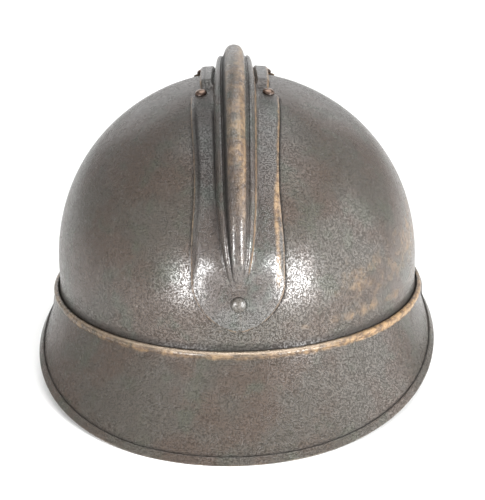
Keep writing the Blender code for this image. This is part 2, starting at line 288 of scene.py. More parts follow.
@dataclass(frozen=True)
class Bowl:
    """The skull's outside: half of an ellipsoid on a short upright wall over an oval plan."""

    half_width: float = 0.0988
    half_length: float = 0.108
    rise: float = 0.0986
    wall_height: float = 0.0162
    ripple_height: float = 0.00007
    ripple_foot: Span = (0.004, 0.02)

    def plan_normal(self, angle: Array, shorten: float = 1.0) -> Array:
        """Outward unit normal of the oval plan, at angles from the rear.

        Args:
            angle: radians from the rear.
            shorten: share of its length that the plan keeps, as when it is seen tipped.

        Returns:
            X and Y of the normal: (sin/width, cos/length), made one long.
        """
        normal = np.stack(
            [np.sin(angle) / self.half_width, np.cos(angle) / (self.half_length * shorten)],
            axis=-1,
        )
        return normal / np.linalg.norm(normal, axis=-1, keepdims=True)

    def beside(self, angle: Array, out: Array, up: Array) -> Array:
        """Points beside the wall's plan, in the seam frame.

        Args:
            angle: radians from the rear.
            out: distance out from the plan.
            up: height over the seam.

        Returns:
            The points.
        """
        normal = self.plan_normal(angle)
        x = self.half_width * np.sin(angle) + normal[..., 0] * out
        y = self.half_length * np.cos(angle) + normal[..., 1] * out
        return np.stack([x, y, np.broadcast_to(up, x.shape)], axis=-1)

    def ripple(self, x: Array, y: Array, z: Array) -> Array:
        """How far hand pressing pushed the sheet out: three crossed sine waves, 50 to 110 mm long.

        Args:
            x: X of each place, in the seam frame.
            y: its Y.
            z: its Z. The ripple fades out towards the seam.

        Returns:
            Distances, up to 2.2 times the ripple's height.
        """
        wave = (
            np.sin(x * 71 + 1.0) * np.cos(y * 58 + 0.4)
            + 0.7 * np.sin(y * 93 - z * 64)
            + 0.5 * np.cos(x * 121 + z * 87)
        )
        return self.ripple_height * wave * smoothstep(z, *self.ripple_foot)

    def over(self, across: Array, degrees: Array) -> tuple[Array, Array]:
        """Points and outward normals over the dome, in the seam frame.

        The dome is x = across, y = length k cos, z = wall + rise k sin, with k = sqrt(1 - (x/width)^2)
        and the angle counted from the rear. Below the dome's foot the wall goes straight down.

        Args:
            across: distance sideways from the middle.
            degrees: degrees over the dome, 0 at the rear foot and 90 on top.

        Returns:
            Points and unit normals, with the inputs' shape.
        """
        k = np.sqrt(1 - (across / self.half_width) ** 2)
        turn = np.radians(degrees)
        below = turn < 0
        y = self.half_length * k * np.where(below, 1.0, np.cos(turn))
        lift = self.rise * np.where(below, turn, k * np.sin(turn))
        steep = np.where(below, 0.0, lift) / self.rise**2
        normal = np.stack([across / self.half_width**2, y / self.half_length**2, steep], axis=-1)
        normal /= np.linalg.norm(normal, axis=-1, keepdims=True)
        return np.stack([across, y, self.wall_height + lift], axis=-1), normal


@dataclass(frozen=True)
class Brim:
    """Reach and drop of the brim, shared by neck guard and visor."""

    bowl: Bowl
    rear_reach: float = 0.0356
    front_reach: float = 0.0330
    side_reach: float = 0.0061
    rear_drop: float = 0.0414
    front_drop: float = 0.0214
    reach_power: float = 1.15
    side_lift: float = 0.0167
    foot_degrees: float = 12.0
    lift_power: float = 1.8
    lift_ease_power: float = 8.0
    # Bends that the edge has taken in use. Behind, it stands out on the wearer's left and in on the right,
    # and in front the other way. It is lower on the left.
    bend_out: float = 0.0017
    bend_down: float = 0.0015

    @property
    def pitch(self) -> float:
        """How far the seam tips up at the rear when the helmet stands, in radians."""
        return math.asin((self.rear_drop - self.front_drop) / (2 * self.bowl.half_length))

    def stand(self, points: Array) -> Array:
        """Carry points from the seam frame to the floor: turned about X by the pitch, and shifted.

        Args:
            points: points in the seam frame.

        Returns:
            The points on the helmet as it stands.
        """
        tip = math.cos(self.pitch), math.sin(self.pitch)
        x, y, z = points[..., 0], points[..., 1], points[..., 2]
        back = (self.front_reach - self.rear_reach) / 2
        height = (self.rear_drop + self.front_drop) / 2
        return np.stack([x, y * tip[0] - z * tip[1] + back, y * tip[1] + z * tip[0] + height], axis=-1)

    def reach(self, angle: Array) -> Array:
        """How far the edge stands out: side + (end - side) |cos|^power, and a bend of sin 2a.

        Args:
            angle: radians from the rear.

        Returns:
            Distances from the wall's plan.
        """
        longest = np.where(np.cos(angle) >= 0, self.rear_reach, self.front_reach)
        even = self.side_reach + (longest - self.side_reach) * np.abs(np.cos(angle)) ** self.reach_power
        return even + self.bend_out * np.sin(2 * angle)

    def lift(self, angle: Array) -> Array:
        """Height of the edge: flat near both ends, arched up at the sides by t^p less a share of t^q.

        The bend lowers it by sin a, down to the floor at most.

        Args:
            angle: radians from the rear.

        Returns:
            Heights over the floor.
        """
        from_end = np.degrees(np.arccos(np.minimum(1.0, np.abs(np.cos(angle)))))
        share = np.maximum(0.0, (from_end - self.foot_degrees) / (90 - self.foot_degrees))
        ratio = self.lift_power / self.lift_ease_power
        arch = (share**self.lift_power - ratio * share**self.lift_ease_power) / (1 - ratio)
        return np.maximum(0.0, self.side_lift * arch - self.bend_down * np.sin(angle))


# Finishes


@dataclass(frozen=True)
class AgedPaint:
    """Old oil paint over pressed steel, brushed on by hand, handled for a century and lightly rusted.

    To the eye: a brown-grey satin skin with cloudy tones, whose fine grit breaks each highlight into
    sparks, tan where rust has bled through, and bright where ridges and beads are rubbed to the metal.
    It reads three point fields: wear (rubbed), rust (bled through) and painted_shade (painted shade, dark and
    matt, laid where shade falls).
    """

    name: str = "aged_oil_paint_on_steel"
    brown: str = "#38302A"
    grey: str = "#37332E"
    green_grey: str = "#35342D"
    rust_light: str = "#997D5A"
    rust_deep: str = "#5C4632"
    rubbed: str = "#A39483"
    # Colour of the painted shade
    painted_shade: str = "#151312"
    cloud_mm: float = 36.0
    tone_mm: float = 17.0
    blotch_mm: float = 7.0
    # Grit in the paint is about 0.4 mm. It is drawn at 0.8 mm, the finest that this picture shows.
    grit_mm: float = 0.8
    pit_mm: float = 2.4
    mottle: float = 0.5
    ragged: float = 0.85
    bled_share: float = 0.8
    roughness: float = 0.25
    specular: float = 0.5
    pit_dull: float = 0.5
    relief_mm: float = 0.17
    metallic: float = 0.0

    def material(self) -> bpy.types.Material:
        """Build the material: patterns, then layers of colour with their gloss, then the relief.

        Noise lies round 0.5, and the ends of each range say how much of a pattern shows.

        Returns:
            The material.
        """
        made = bpy.data.materials.new(self.name)
        made.use_nodes = True
        tree = made.node_tree
        shader = tree.nodes["Principled BSDF"]
        soft = {"interpolation_type": "SMOOTHSTEP"}
        mixed = {"data_type": "RGBA"}
        multiplied = {"blend_type": "MULTIPLY", "clamp_factor": False}
        plus = {"operation": "MULTIPLY_ADD"}
        place = add_node(tree, COORDINATE, out="Object")
        cloud, tone, blotch, grit, pits = (
            add_node(tree, NOISE, {"Vector": place, "Scale": MM / size, "Detail": detail, "Roughness": 0.6})
            for size, detail in (
                (self.cloud_mm, 3),
                (self.tone_mm, 3),
                (self.blotch_mm, 5),
                (self.grit_mm, 2),
                (self.pit_mm, 3),
            )
        )
        wear, rust, painted_shade = (
            add_node(tree, FIELD, out="Fac", attribute_name=name) for name in ("wear", "rust", "painted_shade")
        )

        # Each layer's cover: its field made ragged by the blotches, which lie round 0.5
        shift = self.ragged / 2
        covers = []
        layers = (rust, 1.0, 0.3, 1.0), (wear, 0.5, 0.3, 0.9), (painted_shade, 0.2, 0.05, 0.9)
        for field, share, low, high in layers:
            ragged = add_node(tree, SUM, {0: blotch, 1: self.ragged * share, 2: field}, **plus)
            ends = {1: shift * share + low, 2: shift * share + high}
            covers.append(add_node(tree, RANGE, {0: ragged} | ends, **soft))
        rusty, rubbed, shade_cover = covers
        rusty = add_node(tree, SUM, {0: rusty, 1: self.bled_share}, operation="MULTIPLY")

        clouded = add_node(tree, RANGE, {0: cloud, 1: 0.42, 2: 0.58}, **soft)
        colour = add_node(
            tree, MIX, {0: clouded, UNDER: linear(self.brown), OVER: linear(self.grey)}, MIXED, **mixed
        )
        toned = add_node(tree, RANGE, {0: tone, 1: 0.52, 2: 0.68}, **soft)
        green_grey = linear(self.green_grey)
        colour = add_node(tree, MIX, {0: toned, UNDER: colour, OVER: green_grey}, MIXED, **mixed)
        shade = add_node(tree, RANGE, {0: grit, 1: 0.3, 2: 0.7, 3: 1 - self.mottle, 4: 1 + self.mottle})
        colour = add_node(tree, MIX, {0: 1.0, UNDER: colour, OVER: shade}, MIXED, **multiplied, **mixed)
        bled = add_node(tree, RANGE, {0: pits, 1: 0.38, 2: 0.6}, **soft)
        rust_colour = add_node(
            tree, MIX, {0: bled, UNDER: linear(self.rust_deep), OVER: linear(self.rust_light)}, MIXED, **mixed
        )
        # The last layer is painted shade: a near-black colour laid over creases, valleys and edges where
        # shade falls
        tops = (rusty, rust_colour), (rubbed, linear(self.rubbed)), (shade_cover, linear(self.painted_shade))
        for cover, top in tops:
            colour = add_node(tree, MIX, {0: cover, UNDER: colour, OVER: top}, MIXED, **mixed)
        tree.links.new(colour, shader.inputs["Base Color"])

        gloss_range = {3: self.roughness - 0.05, 4: self.roughness + 0.06}
        gloss = add_node(tree, RANGE, {0: blotch, 1: 0.3, 2: 0.7} | gloss_range)
        for cover, change in ((rusty, 0.12), (rubbed, -0.1), (shade_cover, 0.25)):
            gloss = add_node(tree, SUM, {0: cover, 1: change, 2: gloss}, **plus)
        tree.links.new(gloss, shader.inputs["Roughness"])
        # Where painted shade lies, the gloss and the specular level are also lowered
        matt = add_node(tree, SUM, {0: shade_cover, 1: -0.8 * self.specular, 2: self.specular}, **plus)
        skin = add_node(tree, RANGE, {0: grit, 1: 0.40, 2: 0.52}, **soft)
        glint = add_node(tree, RANGE, {0: skin, 1: 0.0, 2: 1.0, 3: 1 - self.pit_dull, 4: 1.12})
        shine = add_node(tree, SUM, {0: matt, 1: glint}, operation="MULTIPLY")
        tree.links.new(shine, shader.inputs["Specular IOR Level"])
        metal = add_node(tree, SUM, {0: rubbed, 1: 0.7, 2: self.metallic}, use_clamp=True, **plus)
        tree.links.new(metal, shader.inputs["Metallic"])

        # The paint's skin is level between small pits, so that a highlight is bright with dark specks
        relief = add_node(tree, SUM, {0: pits, 1: 0.5, 2: skin}, **plus)
        bump = add_node(tree, BUMP, {"Strength": 1.0, "Distance": self.relief_mm / MM, "Height": relief})
        tree.links.new(bump, shader.inputs["Normal"])
        return made


HELMET_PAINT = AgedPaint()

# The crest was painted apart: thinner and smoother
CREST_PAINT = AgedPaint(
    name="thin_oil_paint_on_crest",
    brown="#352F2B",
    grey="#373532",
    green_grey="#333530",
    rust_light="#8A7152",
    bled_share=0.7,
    specular=0.7,
    roughness=0.23,
    relief_mm=0.12,
)

# The end rivets, painted over with the crest
RIVET_PAINT = AgedPaint(
    name="thick_oil_paint_on_rivets",
    brown="#3A3530",
    grey="#3D3A36",
    green_grey="#3A3934",
    rubbed="#57504A",
    specular=0.7,
    roughness=0.3,
    relief_mm=0.03,
)

# The hood's rivets, rubbed bare: browned steel with a bright crown
BROWNED_STEEL = AgedPaint(
    name="browned_steel_rivets",
    brown="#44332B",
    grey="#43362E",
    green_grey="#42382F",
    rubbed="#77655A",
    roughness=0.24,
    relief_mm=0.02,
    metallic=0.3,
)


@dataclass(frozen=True)
class FloorPaper:
    """Seamless white paper: plain and matt."""

    name: str = "white_backdrop_paper"
    white: str = "#F7F7F6"
    roughness: float = 0.9

    def material(self) -> bpy.types.Material:
        """Build the material.

        Returns:
            The material.
        """
        made = bpy.data.materials.new(self.name)
        made.use_nodes = True
        shader = made.node_tree.nodes["Principled BSDF"]
        shader.inputs["Base Color"].default_value = linear(self.white)
        shader.inputs["Roughness"].default_value = self.roughness
        return made


# Pieces


class BrimSide(Enum):
    """Which half of the brim, by the angle of its middle from the rear."""

    NECK_GUARD = 0.0
    VISOR = math.pi


@dataclass
class Piece:
    """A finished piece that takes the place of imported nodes."""

    node: str
    slot: str = PAINT_SLOT

    @property
    def piece_name(self) -> str:
        """Name of the finished piece."""
        return f"{self.node}_surface"

    def claim(self, obj: bpy.types.Object, material: bpy.types.Material) -> bpy.types.Object:
        """Dress a finished object, put it on the body and let it stand for its node.

        Args:
            obj: the finished object.
            material: its finish.

        Returns:
            The same object.
        """
        obj.data.materials.clear()
        obj.data.materials.append(material)
        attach(obj, BODY)
        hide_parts(self.node)
        low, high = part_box(self.node)
        corners = np.empty((len(obj.data.vertices), 3), np.float32)
        obj.data.vertices.foreach_get("co", corners.ravel())
        off = max(np.abs(corners.min(0) - low).max(), np.abs(corners.max(0) - high).max())
        LOG.info("%s: %d faces, %.2f mm off its node's box", obj.name, len(obj.data.polygons), off * MM)
        return obj


@dataclass
class SkullShell(Piece):
    """The domed skull with its fillet and turned-out flange, the vent slot and the rivet holes."""

    brim: Brim = None
    crest: "CrestPressing" = None
    fillet_height: float = 0.0045
    fillet_reach: float = 0.0014
    seam_flange: float = 0.001
    vent_length: float = 0.044
    vent_width: float = 0.0076
    vent_steps: int = 32
    plug_length: float = 0.012
    round_steps: int = 320
    crowding: float = 0.35
    dome_rings: int = 118
    wall_rings: int = 8
    fillet_rings: int = 8
    # Middle and spread of the two rusted patches, across and up, and of rust and a painted highlight over the
    # bead
    low_right: tuple[Span, Span] = ((-0.062, 0.028), (0.028, 0.024))
    far_right: tuple[Span, Span] = ((-0.093, 0.012), (0.040, 0.026))
    patch_rust: float = 0.44
    foot_rust: Span = (0.0115, 0.003)
    foot_highlight: Span = (0.0105, 0.0012)
    # Painted shadow beside the crest, by its middle and spread, and painted shade in the fillet over the
    # bead, from full to none
    crest_edge_shadow: Span = (0.0004, 0.0009)
    foot_shade: Span = (0.0030, 0.0072)
    behind: Span = (-0.02, 0.05)

    def profile(self) -> tuple[Array, Array]:
        """Outside from top to flange edge, as the share of the plan's oval, the reach beyond it, and height.

        Returns:
            Rows of (share, beyond, height): sin and cos of an even turn over the dome, a straight wall,
            a quarter round and the flat flange.
        """
        bowl, top = self.brim.bowl, SHEET / 2
        turn = np.linspace(0, np.pi / 2, self.dome_rings + 1)
        dome = np.stack([np.sin(turn), 0 * turn, bowl.wall_height + bowl.rise * np.cos(turn)], axis=1)
        height = np.linspace(bowl.wall_height, top + self.fillet_height, self.wall_rings + 1)[1:]
        wall = np.stack([1 + 0 * height, 0 * height, height], axis=1)
        turn = np.linspace(0, np.pi / 2, self.fillet_rings + 1)[1:]
        fillet = np.stack(
            [
                1 + 0 * turn,
                self.fillet_reach * (1 - np.cos(turn)),
                top + self.fillet_height * (1 - np.sin(turn)),
            ],
            axis=1,
        )
        edge = np.array([[1, self.fillet_reach + self.seam_flange, top]])
        return np.vstack([dome, wall, fillet, edge])

    def build(self) -> bpy.types.Object:
        """Make the outside: the profile carried round the oval and rippled a little.

        Returns:
            The object, still without its wall.
        """
        bowl = self.brim.bowl
        share, beyond, height = (column[:, None] for column in self.profile().T)
        even = np.arange(self.round_steps)[None, :] * 2 * np.pi / self.round_steps
        angle = even - self.crowding * np.sin(2 * even)
        normal = bowl.plan_normal(angle)
        x = bowl.half_width * share * np.sin(angle) + normal[..., 0] * beyond
        y = bowl.half_length * share * np.cos(angle) + normal[..., 1] * beyond
        z = np.broadcast_to(height, x.shape)
        push = bowl.ripple(x, y, z)
        reach = np.sqrt((x / bowl.half_width**2) ** 2 + (y / bowl.half_length**2) ** 2)
        rise = np.clip(z - bowl.wall_height, 0, None) / bowl.rise**2
        size = np.sqrt(reach**2 + rise**2)
        x = x + push * x / bowl.half_width**2 / size
        y = y + push * y / bowl.half_length**2 / size
        z = z + push * rise / size
        grid = self.brim.stand(np.stack([x, y, z], axis=-1))
        return mesh_object(self.piece_name, grid, self.fields(x, y, z), closed=True)

    def fields(self, x: Array, y: Array, z: Array) -> dict[str, Array]:
        """Wear, rust and painted shade over the skull.

        Painted shade lies in the fillet over the bead, and a painted shadow along the crest's edges. Rust
        bleeds through low on the wearer's right behind, and over the bead.

        Args:
            x: X of each point, in the seam frame.
            y: its Y.
            z: its Z.

        Returns:
            Each field's numbers.
        """
        bowl = self.brim.bowl
        behind = smoothstep(y, *self.behind)
        degrees = np.degrees(np.arctan2((z - bowl.wall_height) / bowl.rise, y / bowl.half_length))
        off_crest = np.abs(x) - self.crest.half_width(degrees)
        along_crest = smoothstep(self.crest.from_tip(degrees), -1.0, 0.0)
        # Painted shade in the fillet over the bead, and a painted shadow just outside the crest's edges,
        # stronger on the wearer's right
        painted_shade = 0.5 * (1 - smoothstep(z, *self.foot_shade))
        painted_shade = painted_shade + np.where(x < 0, 0.8, 0.45) * bump_at(off_crest, *self.crest_edge_shadow) * along_crest
        low_right, far_right = (
            bump_at(x, *across) * bump_at(z, *up) for across, up in (self.low_right, self.far_right)
        )
        rust = self.patch_rust * (low_right * behind) + self.patch_rust * far_right
        rust = rust + 0.25 * bump_at(z, *self.foot_rust)
        # A faint pale line on the wall over the bead: a painted highlight, laid through the wear layer
        wear = 0.1 * bump_at(z, *self.foot_highlight)
        return {"wear": wear, "rust": rust, "painted_shade": painted_shade}

    def vent_plug(self) -> bpy.types.Object:
        """A closed plug as wide and long as the vent slot, with half-round ends.

        Returns:
            The plug.
        """
        turn = np.linspace(0, 2 * np.pi, self.vent_steps, endpoint=False) + np.pi / self.vent_steps
        half = (self.vent_length - self.vent_width) / 2
        radius = self.vent_width / 2
        x = radius * np.cos(turn)
        y = radius * np.sin(turn) + np.sign(np.sin(turn)) * half
        bowl = self.brim.bowl
        top = bowl.wall_height + bowl.rise
        depth = self.plug_length / 2
        rows = [np.stack([x, y, 0 * x + top + z], axis=-1) for z in (-depth, depth)]
        return mesh_object("vent_plug", self.brim.stand(np.stack(rows)), {}, closed=True, ends=True)

    def dress(self, material: bpy.types.Material, plugs: list[bpy.types.Object]) -> bpy.types.Object:
        """Finish the skull: weld the pole, give it its wall, and cut the vent and the rivet holes.

        Args:
            material: its finish.
            plugs: the rivets' plugs.

        Returns:
            The finished skull.
        """
        obj = self.build()
        merge_doubles(obj)
        give_wall(obj)
        vent = self.vent_plug()
        drill(obj, plugs + [vent])
        settle(obj)
        bpy.data.objects.remove(vent)
        return self.claim(obj, material)


@dataclass
class BrimHalf(Piece):
    """Neck guard or visor: one sheet from the bead round the skull, down the skirt, to the folded hem."""

    brim: Brim = None
    side: BrimSide = BrimSide.NECK_GUARD
    fillet_reach: float = 0.0014
    seam_flange: float = 0.001
    bead_radius: float = 0.0018
    bead_out: float = 0.0019
    lower_lip: float = 0.0009
    skirt_sag: float = 0.0012
    hem_width: float = 0.0042
    hem_proud: float = 0.0007
    hem_foot: float = 0.0013
    hem_round: float = 0.0007
    joint_gap: float = 0.0004
    round_steps: int = 144
    skirt_steps: int = 22
    bead_steps: int = 18
    curl_steps: int = 5
    bead_end: float = -48.0
    # The hem from crease to tip: share of the way, and share of how proud of the crease it stands
    hem_section: tuple[Span, ...] = (
        (0.02, 0.15),
        (0.05, 0.55),
        (0.12, 0.90),
        (0.25, 1.00),
        (0.55, 1.00),
        (0.80, 1.00),
    )
    # In degrees: the bead's rusted stretch round the helmet, and its rubbed top round the wire
    tanned: Span = (-58.0, 26.0)
    rubbed: Span = (62.0, 42.0)
    # Shares of the skirt that rust takes below the bead, and painted shade in the crease
    bead_rust: float = 0.045
    crease_shade: float = 0.012

    def bead(self, angle: Array) -> tuple[Array, Array, Array]:
        """Points of the bead over the flange's top, and under it, for each angle.

        The bead is a round wire of the bead's radius, cut flat on the skull's fillet and slotted for the
        flange. The upper run goes up its inside and over its top, the lower run from its foot to the slot.

        Args:
            angle: radians from the rear.

        Returns:
            Points of the upper run, points of the lower run, and the wear across the upper run.
        """
        slot = SHEET / 2 + GAP
        slot_end = self.fillet_reach + self.seam_flange + GAP
        lip = self.fillet_reach + GAP / 3
        lip_top = math.sqrt(self.bead_radius**2 - (self.bead_out - lip) ** 2)
        first = math.atan2(lip_top, lip - self.bead_out)
        turn = np.linspace(first, math.radians(self.bead_end), self.bead_steps)
        outs = np.concatenate([[lip], self.bead_out + self.bead_radius * np.cos(turn)])
        ups = np.concatenate([[slot], self.bead_radius * np.sin(turn)])
        under = np.array(
            [
                [self.bead_out, -self.bead_radius],
                [self.lower_lip, -slot - SHEET],
                [self.lower_lip, -slot],
                [slot_end, -slot],
                [slot_end, slot],
            ]
        )
        bowl = self.brim.bowl
        over = self.brim.stand(bowl.beside(angle[:, None], outs[None, :], ups[None, :]))
        below = self.brim.stand(bowl.beside(angle[:, None], under[None, :, 0], under[None, :, 1]))
        wear = np.concatenate([[0], bump_at(turn, *np.radians(self.rubbed))])
        return over, below, wear

    def build(self) -> bpy.types.Object:
        """Make the half: one closed section for each angle, with the hem standing out from the skirt.

        Returns:
            The object.
        """
        bowl, brim = self.brim.bowl, self.brim
        short = self.joint_gap / 2 / bowl.half_length
        half = math.pi / 2 - short
        angle = self.side.value + np.linspace(half, -half, self.round_steps + 1)
        over, below, bead_wear = self.bead(angle)
        normal = bowl.plan_normal(angle, math.cos(brim.pitch))
        out = np.concatenate([normal, np.zeros((len(angle), 1))], axis=1)
        up = np.array([0.0, 0.0, 1.0])
        level = np.zeros(len(angle))
        wall = brim.stand(bowl.beside(angle, level, level))
        foot = wall * (1, 1, 0) + out * brim.reach(angle)[:, None] + up * brim.lift(angle)[:, None]

        start = over[:, -1]
        along = foot - start
        along /= np.linalg.norm(along, axis=1, keepdims=True)
        face = np.cross(along, np.cross(out, up))
        face *= np.sign(np.sum(face * out, axis=1, keepdims=True))
        face /= np.linalg.norm(face, axis=1, keepdims=True)
        skirt = foot - face * self.hem_proud + up * self.hem_round - start
        length = np.linalg.norm(skirt, axis=1)
        last = 1 - self.hem_width / length
        share = np.linspace(0, 1, self.skirt_steps + 1)[None, 1:] * last[:, None]
        sag = self.skirt_sag * 4 * share * (1 - share)
        outside = start[:, None] + skirt[:, None] * share[..., None] - face[:, None] * sag[..., None]
        inside = outside - face[:, None] * SHEET

        crease = outside[:, -1]
        fold = crease + face * self.hem_proud
        tip = foot + up * self.hem_round
        steps = np.array(self.hem_section)[None]
        run = tip - fold
        proud = face[:, None] * (self.hem_proud * steps[..., 1:])
        hem = crease[:, None] + run[:, None] * steps[..., :1] + proud
        curl = np.linspace(0, math.pi / 2, self.curl_steps)
        edge = (
            foot[:, None]
            + out[:, None] * (self.hem_round / 2 * (np.cos(curl) - 1))[None, :, None]
            + up * (self.hem_round * (1 - np.sin(curl)))[None, :, None]
        )
        flat = foot - out * (self.hem_round / 2 + self.hem_foot)
        heel = foot - out * (self.hem_round + self.hem_foot) + up * self.hem_round
        parts = [over, outside, hem, edge, flat[:, None], heel[:, None], inside[:, ::-1], below]
        section = np.concatenate(parts, axis=1)
        fields = self.fields(angle, [part.shape[1] for part in parts], bead_wear, share)
        return mesh_object(self.piece_name, section, fields, closed=True, ends=True)

    def fields(self, angle: Array, counts: list[int], bead_wear: Array, share: Array) -> dict[str, Array]:
        """Wear, rust and painted shade round the brim.

        The bead's top is rubbed bright, most in the middle behind, and rusted tan on the wearer's right.
        Rust bleeds through below the bead, painted shade lies in the hem's crease, and the hem's edge is
        rubbed.

        Args:
            angle: radians from the rear.
            counts: how many points each part of the section has, from the bead on.
            bead_wear: wear across the bead.
            share: share of the way down the skirt, for each angle.

        Returns:
            Each field's numbers.
        """
        over, outside, hem, edge = counts[:4]
        behind = 0.45 + 0.55 * bump_at(np.abs(np.sin(angle / 2)), 0.0, 0.35)
        tanned = bump_at(np.degrees(angle), *self.tanned)
        wear = np.zeros((len(angle), sum(counts)))
        painted_shade = np.zeros_like(wear)
        rust = np.zeros_like(wear)
        wear[:, :over] = 0.95 * (behind * (1 - 0.7 * tanned))[:, None] * bead_wear[None, :]
        rust[:, :over] = 0.55 + 0.5 * tanned[:, None]
        at = over
        rust[:, at : at + outside] = 0.3 * bump_at(share, 0.0, self.bead_rust)
        # Painted shade at the skirt's foot and in the hem's crease, where the hem stands proud
        painted_shade[:, at : at + outside] = 0.5 * bump_at(share, share[:, -1:], self.crease_shade)
        at += outside
        painted_shade[:, at : at + 2] = 0.75
        at += hem
        wear[:, at : at + edge] = 0.4
        return {"wear": wear, "rust": rust, "painted_shade": painted_shade}

    def dress(self, material: bpy.types.Material) -> bpy.types.Object:
        """Finish the half and dress it."""
        return self.claim(settle(self.build()), material)


@dataclass
class CrestPressing(Piece):
    """The crest: a high ridge between two lower steps, on a flange that lies along the dome."""

    brim: Brim = None
    rear_tip: float = -2.3
    front_tip: float = 148.0
    tip: float = 13.0
    tip_power: float = 1.6
    nose_start: float = 10.6
    nose: float = 28.7
    ridge_start: float = 12.2
    lobe: float = 20.0
    waist: float = 40.0
    shoulder: float = 19.0
    hood: float = 9.5
    hood_end: float = 12.3
    narrowing: tuple[float, float] = (16.2, 12.8)
    lobe_half_width: float = 0.0223
    waist_half_width: float = 0.0204
    shoulder_half_width: float = 0.0224
    hood_half_width: float = 0.0174
    tip_half_width: float = 0.0015
    step_half_width: float = 0.0104
    ridge_height: float = 0.015
    ridge_power: float = 2.6
    ridge_round: float = 0.75
    hood_lift: float = 0.003
    nose_width: float = 0.80
    nose_narrowest: float = 0.28
    step_toe: float = 0.0016
    step_share: float = 0.6
    curve_steps: int = 5
    stations: int = 240
    tip_crowding: float = 0.55
    flange_bulge: float = 0.0003
    bulge_run: float = 8.0
    lobe_lift: float = 0.0017
    lobe_middle: Span = (20.0, 9.0)
    lobe_run: float = 6.0
    lobe_power: float = 1.5
    rivet_from_tip: float = 7.8
    rivet_from_top: float = 14.8
    rivet_across: float = 0.0172
    # The flange from the toe to its edge: share of the way, and share of the bulge. Its edge is turned down
    flange_section: tuple[Span, ...] = (
        (0.20, 0.0),
        (0.45, 0.4),
        (0.70, 1.0),
        (0.84, 0.8),
        (0.93, 0.1),
        (1.00, -0.9),
    )
    # Half of the section: share of the step's half width, and share of the ridge's height
    section: tuple[Span, ...] = (
        (0.00, 1.000),
        (0.20, 0.970),
        (0.34, 0.895),
        (0.45, 0.770),
        (0.53, 0.620),
        (0.59, 0.550),
        (0.68, 0.585),
        (0.81, 0.545),
        (0.94, 0.350),
        (1.00, 0.080),
    )
    # Its marks, in degrees from and to: the upper part, the stretch below the hood, the side band's ends
    upper: Span = (22.0, 45.0)
    hood_side: Span = (62.0, 72.0)
    band_start: Span = (6.0, 13.0)
    band_end: Span = (34.0, 46.0)
    # in shares of the step's half width: the ridge's foot, and the step's edge and crown
    ridge_foot: Span = (0.38, 0.54)
    step_edge: Span = (0.97, 0.09)
    step_crown: Span = (0.80, 0.10)
    # and in metres: where the ridge is raised, where its right side starts, the edge, the painted shade
    # inside it
    raised: Span = (0.001, 0.006)
    right: Span = (-0.001, 0.003)
    brink: Span = (0.0, 0.0011)
    inner_edge_shade: Span = (0.0025, 0.0009)

    def half_width(self, degrees: Array) -> Array:
        """Half width of the flange: eased from place to place, and rounded off towards the tips.

        Args:
            degrees: degrees over the dome.

        Returns:
            Half widths.
        """
        places = np.array(
            [
                self.rear_tip + self.lobe,
                self.waist,
                90 - self.shoulder,
                90 - self.narrowing[0],
                90 - self.narrowing[1],
                90 + self.narrowing[1],
                90 + self.narrowing[0],
                90 + self.shoulder,
                (90 + self.shoulder + self.front_tip - self.lobe) / 2,
                self.front_tip - self.lobe,
            ]
        )
        ends = [self.lobe_half_width, self.waist_half_width] + [self.shoulder_half_width] * 2
        sizes = np.array(ends + [self.hood_half_width] * 2 + ends[::-1])
        share = np.clip(self.from_tip(degrees) / self.tip, 0, 1)
        point = np.sqrt(1 - (1 - share) ** self.tip_power)
        return np.maximum(self.tip_half_width, ease(degrees, places, sizes) * point)

    def from_tip(self, degrees: Array) -> Array:
        """Degrees from the nearer tip."""
        return np.minimum(degrees - self.rear_tip, self.front_tip - degrees)

    def height(self, degrees: Array) -> Array:
        """Height of the ridge: (1 - |2t - 1|^p)^q of the share t from nose to nose.

        Args:
            degrees: degrees over the dome.

        Returns:
            Heights over the flange.
        """
        start, end = self.rear_tip + self.ridge_start, self.front_tip - self.ridge_start
        share = np.clip((degrees - start) / (end - start), 0, 1)
        return self.ridge_height * (1 - np.abs(2 * share - 1) ** self.ridge_power) ** self.ridge_round

    def step(self, degrees: Array) -> Array:
        """Half width of ridge and steps together: a long round nose that widens on towards the middle.

        The nose is sqrt(1 - (1 - n)^2) of the share n along it, and widens with the share to the middle.

        Args:
            degrees: degrees over the dome.

        Returns:
            Half widths.
        """
        beyond = self.from_tip(degrees) - self.nose_start
        nose = np.clip(beyond / self.nose, 0, 1)
        along = np.clip(beyond / ((self.front_tip - self.rear_tip) / 2 - self.nose_start), 0, 1)
        narrow = np.sqrt(1 - (1 - nose) ** 2) * (self.nose_width + (1 - self.nose_width) * along)
        widest = self.step_half_width * np.maximum(self.nose_narrowest, narrow)
        return np.minimum(widest, self.half_width(degrees) * self.step_share)

    def grid(self) -> tuple[Array, Array, Array]:
        """Points of the crest's outside, and where each lies on it.

        Returns:
            Points in the seam frame, and their distance across and degrees over the dome.
        """
        even = np.linspace(0, 1, self.stations + 1)
        along = even - self.tip_crowding * np.sin(2 * np.pi * even) / (2 * np.pi)
        degrees = self.front_tip + (self.rear_tip - self.front_tip) * along
        from_tip = self.from_tip(degrees)
        edge = self.half_width(degrees)
        height = self.height(degrees)
        hood = np.array([0, self.hood, self.hood_end])
        lift = ease(np.abs(degrees - 90), hood, np.array([1, 1, 0])) * self.hood_lift
        step = self.step(degrees)
        toe = np.minimum(step + self.step_toe * step / self.step_half_width, (step + edge) / 2)

